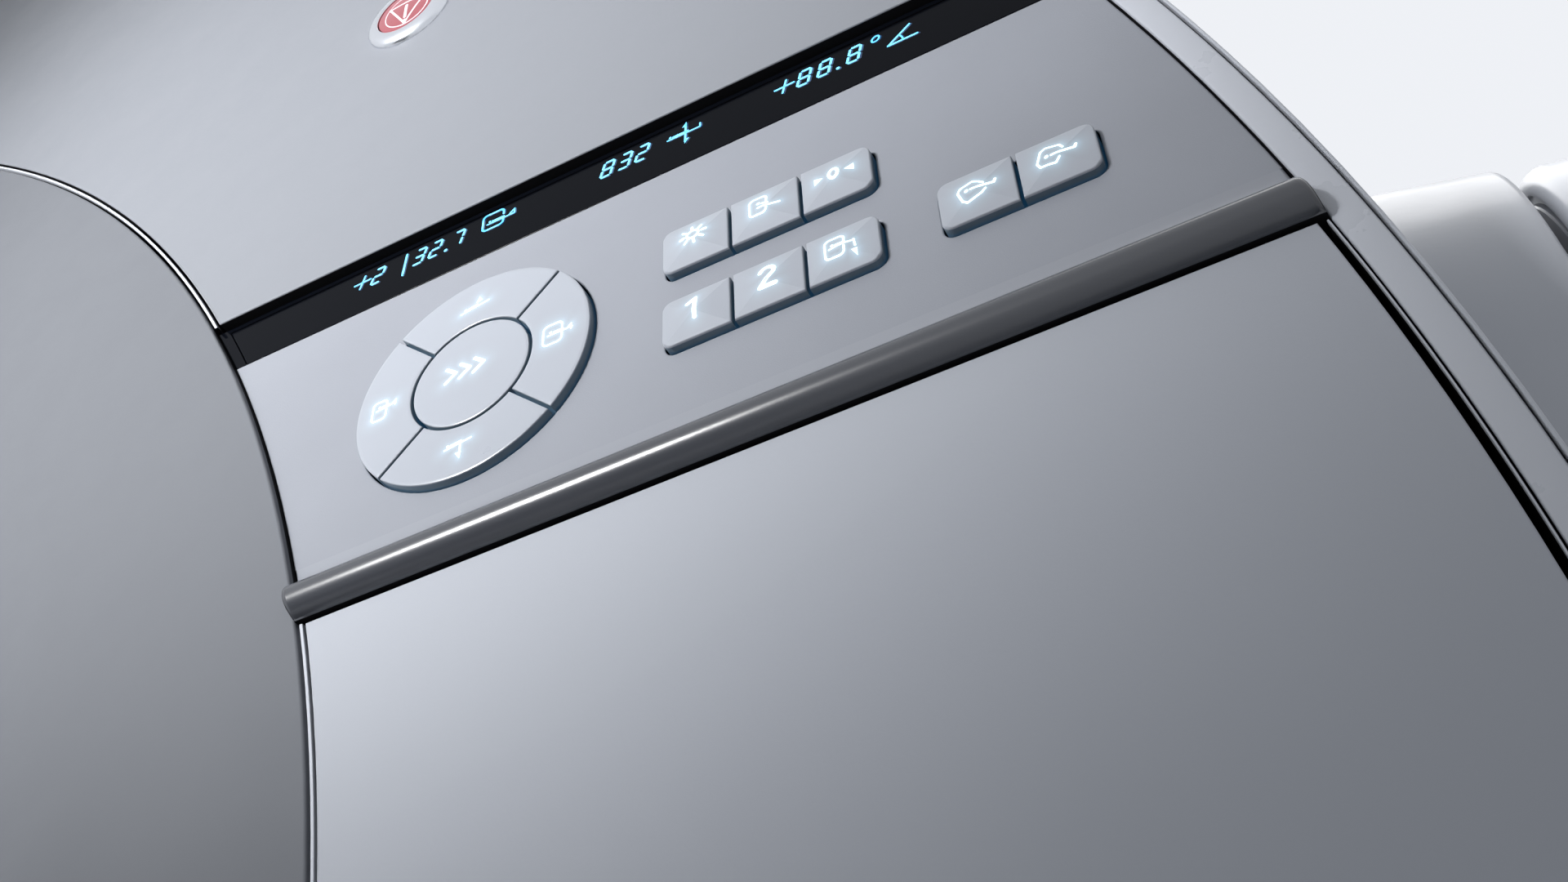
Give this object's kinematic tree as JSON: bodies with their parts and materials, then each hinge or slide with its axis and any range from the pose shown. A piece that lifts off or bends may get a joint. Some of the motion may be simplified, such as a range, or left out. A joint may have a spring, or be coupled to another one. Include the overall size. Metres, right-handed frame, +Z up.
{
  "type": "ct scanner",
  "caption": "Computed tomography scanner: tilting gantry with a key panel and a turning X-ray drum inside, side stands, and a patient table that lifts and slides into the bore.",
  "frame": {"origin": "on the floor under the scan axis, at the centre of the gantry's anchor holes", "axes": "+X to the gantry's right as a person at the table faces it, +Y into the bore away from the table, +Z up"},
  "size_m": [2.204, 3.68, 1.9368],
  "materials": {
    "cover_pale": "satin painted moulding",
    "cover_front": "satin painted moulding",
    "cover_bore": "satin painted moulding",
    "trim_pale": "gloss painted moulding",
    "panel_grey": "fine textured moulding",
    "display_glass": "black glass-clear plastic",
    "key_pearl": "pearl moulding",
    "stop_red": "red moulding",
    "bezel_silver": "satin plated",
    "board_green": "circuit board",
    "window_film": "dark plastic film",
    "frame_steel": "painted steel",
    "cast_frame": "painted casting",
    "bearing_steel": "ground steel",
    "drive_paint": "painted housing",
    "copper_windings": "wound copper",
    "magnet_dark": "coated magnets",
    "moulded_black": "moulded block",
    "rotor_alloy": "machined alloy",
    "slip_brass": "plated rings",
    "tube_housing": "steel housing",
    "collimator_dark": "painted lead and steel",
    "detector_blue": "anodised housing",
    "generator_paint": "painted tank",
    "bellows_rubber": "folded rubber",
    "cradle_dark": "carbon fibre laminate",
    "mattress_vinyl": "vinyl covered foam"
  },
  "bodies": {
    "base": {"base_frame": "frame_steel", "base_cover": "cover_pale", "stand_left": "frame_steel", "stand_right": "frame_steel", "stand_cover_left": "cover_pale", "stand_cover_right": "cover_pale", "tilt_bearing_left": "bearing_steel", "tilt_bearing_right": "bearing_steel", "tilt_drive": "drive_paint", "table_base": "frame_steel", "table_cover": "cover_pale", "table_bellows": "bellows_rubber"},
    "gantry": {"trim_ring": "trim_pale", "front_cover_upper": "cover_front", "front_cover_lower": "cover_front", "bore_cover_front": "cover_bore", "bore_cover_rear": "cover_bore", "scan_window": "window_film", "rear_cover": "cover_front", "shell_upper": "cover_pale", "shell_lower": "cover_pale", "shoulder_left": "cover_pale", "shoulder_right": "cover_pale", "stator_frame": "cast_frame", "bearing_outer": "bearing_steel", "drive_stator": "copper_windings", "brush_block": "moulded_black", "control_panel": "panel_grey", "display_window": "display_glass", "keypad_board": "board_green", "stop_bezel": "bezel_silver"},
    "rotor": {"rotor_drum": "rotor_alloy", "bearing_inner": "bearing_steel", "drive_magnets": "magnet_dark", "slip_ring": "slip_brass", "xray_tube": "tube_housing", "collimator": "collimator_dark", "detector": "detector_blue", "hv_generator": "generator_paint", "tube_cooler": "rotor_alloy"},
    "table_lift": {"table_frame": "cover_pale"},
    "tabletop": {"cradle": "cradle_dark", "mattress": "mattress_vinyl", "head_holder": "cradle_dark"},
    "stop_button": {"stop_button": "stop_red"},
    "pad_middle": {"pad_middle": "key_pearl"},
    "pad_up": {"pad_up": "key_pearl"},
    "pad_left": {"pad_left": "key_pearl"},
    "pad_down": {"pad_down": "key_pearl"},
    "pad_right": {"pad_right": "key_pearl"},
    "key_light": {"key_light": "key_pearl"},
    "key_load": {"key_load": "key_pearl"},
    "key_zero": {"key_zero": "key_pearl"},
    "key_one": {"key_one": "key_pearl"},
    "key_two": {"key_two": "key_pearl"},
    "key_unload": {"key_unload": "key_pearl"},
    "key_tilt_back": {"key_tilt_back": "key_pearl"},
    "key_tilt_front": {"key_tilt_front": "key_pearl"}
  },
  "joints": [
    {"name": "gantry_tilt", "type": "hinge", "parent": "base", "child": "gantry", "pos_m": [0, 0, 1], "axis": [1, 0, 0], "range_deg": [-30, 30]},
    {"name": "rotor_spin", "type": "hinge", "parent": "gantry", "child": "rotor", "pos_m": [0, 0, 1], "axis": [0, 1, 0], "continuous": true},
    {"name": "table_height", "type": "slide", "parent": "base", "child": "table_lift", "axis": [0, 0, 1], "range_m": [-0.33, 0], "deforming": ["table_bellows"]},
    {"name": "cradle_slide", "type": "slide", "parent": "table_lift", "child": "tabletop", "axis": [0, 1, 0], "range_m": [0, 1.6]},
    {"name": "press_stop", "type": "slide", "parent": "gantry", "child": "stop_button", "axis": [0, 1, 0], "range_m": [0, 0.004], "stiffness_N_per_m": 4000, "springref_m": -0.002},
    {"name": "press_pad_middle", "type": "slide", "parent": "gantry", "child": "pad_middle", "axis": [0, 1, 0], "range_m": [0, 0.0008], "stiffness_N_per_m": 1200, "springref_m": -0.001},
    {"name": "press_pad_up", "type": "slide", "parent": "gantry", "child": "pad_up", "axis": [0, 1, 0], "range_m": [0, 0.0008], "stiffness_N_per_m": 1200, "springref_m": -0.001},
    {"name": "press_pad_left", "type": "slide", "parent": "gantry", "child": "pad_left", "axis": [0, 1, 0], "range_m": [0, 0.0008], "stiffness_N_per_m": 1200, "springref_m": -0.001},
    {"name": "press_pad_down", "type": "slide", "parent": "gantry", "child": "pad_down", "axis": [0, 1, 0], "range_m": [0, 0.0008], "stiffness_N_per_m": 1200, "springref_m": -0.001},
    {"name": "press_pad_right", "type": "slide", "parent": "gantry", "child": "pad_right", "axis": [0, 1, 0], "range_m": [0, 0.0008], "stiffness_N_per_m": 1200, "springref_m": -0.001},
    {"name": "press_key_light", "type": "slide", "parent": "gantry", "child": "key_light", "axis": [0, 1, 0], "range_m": [0, 0.0008], "stiffness_N_per_m": 1200, "springref_m": -0.001},
    {"name": "press_key_load", "type": "slide", "parent": "gantry", "child": "key_load", "axis": [0, 1, 0], "range_m": [0, 0.0008], "stiffness_N_per_m": 1200, "springref_m": -0.001},
    {"name": "press_key_zero", "type": "slide", "parent": "gantry", "child": "key_zero", "axis": [0, 1, 0], "range_m": [0, 0.0008], "stiffness_N_per_m": 1200, "springref_m": -0.001},
    {"name": "press_key_one", "type": "slide", "parent": "gantry", "child": "key_one", "axis": [0, 1, 0], "range_m": [0, 0.0008], "stiffness_N_per_m": 1200, "springref_m": -0.001},
    {"name": "press_key_two", "type": "slide", "parent": "gantry", "child": "key_two", "axis": [0, 1, 0], "range_m": [0, 0.0008], "stiffness_N_per_m": 1200, "springref_m": -0.001},
    {"name": "press_key_unload", "type": "slide", "parent": "gantry", "child": "key_unload", "axis": [0, 1, 0], "range_m": [0, 0.0008], "stiffness_N_per_m": 1200, "springref_m": -0.001},
    {"name": "press_key_tilt_back", "type": "slide", "parent": "gantry", "child": "key_tilt_back", "axis": [0, 1, 0], "range_m": [0, 0.0008], "stiffness_N_per_m": 1200, "springref_m": -0.001},
    {"name": "press_key_tilt_front", "type": "slide", "parent": "gantry", "child": "key_tilt_front", "axis": [0, 1, 0], "range_m": [0, 0.0008], "stiffness_N_per_m": 1200, "springref_m": -0.001}
  ]
}
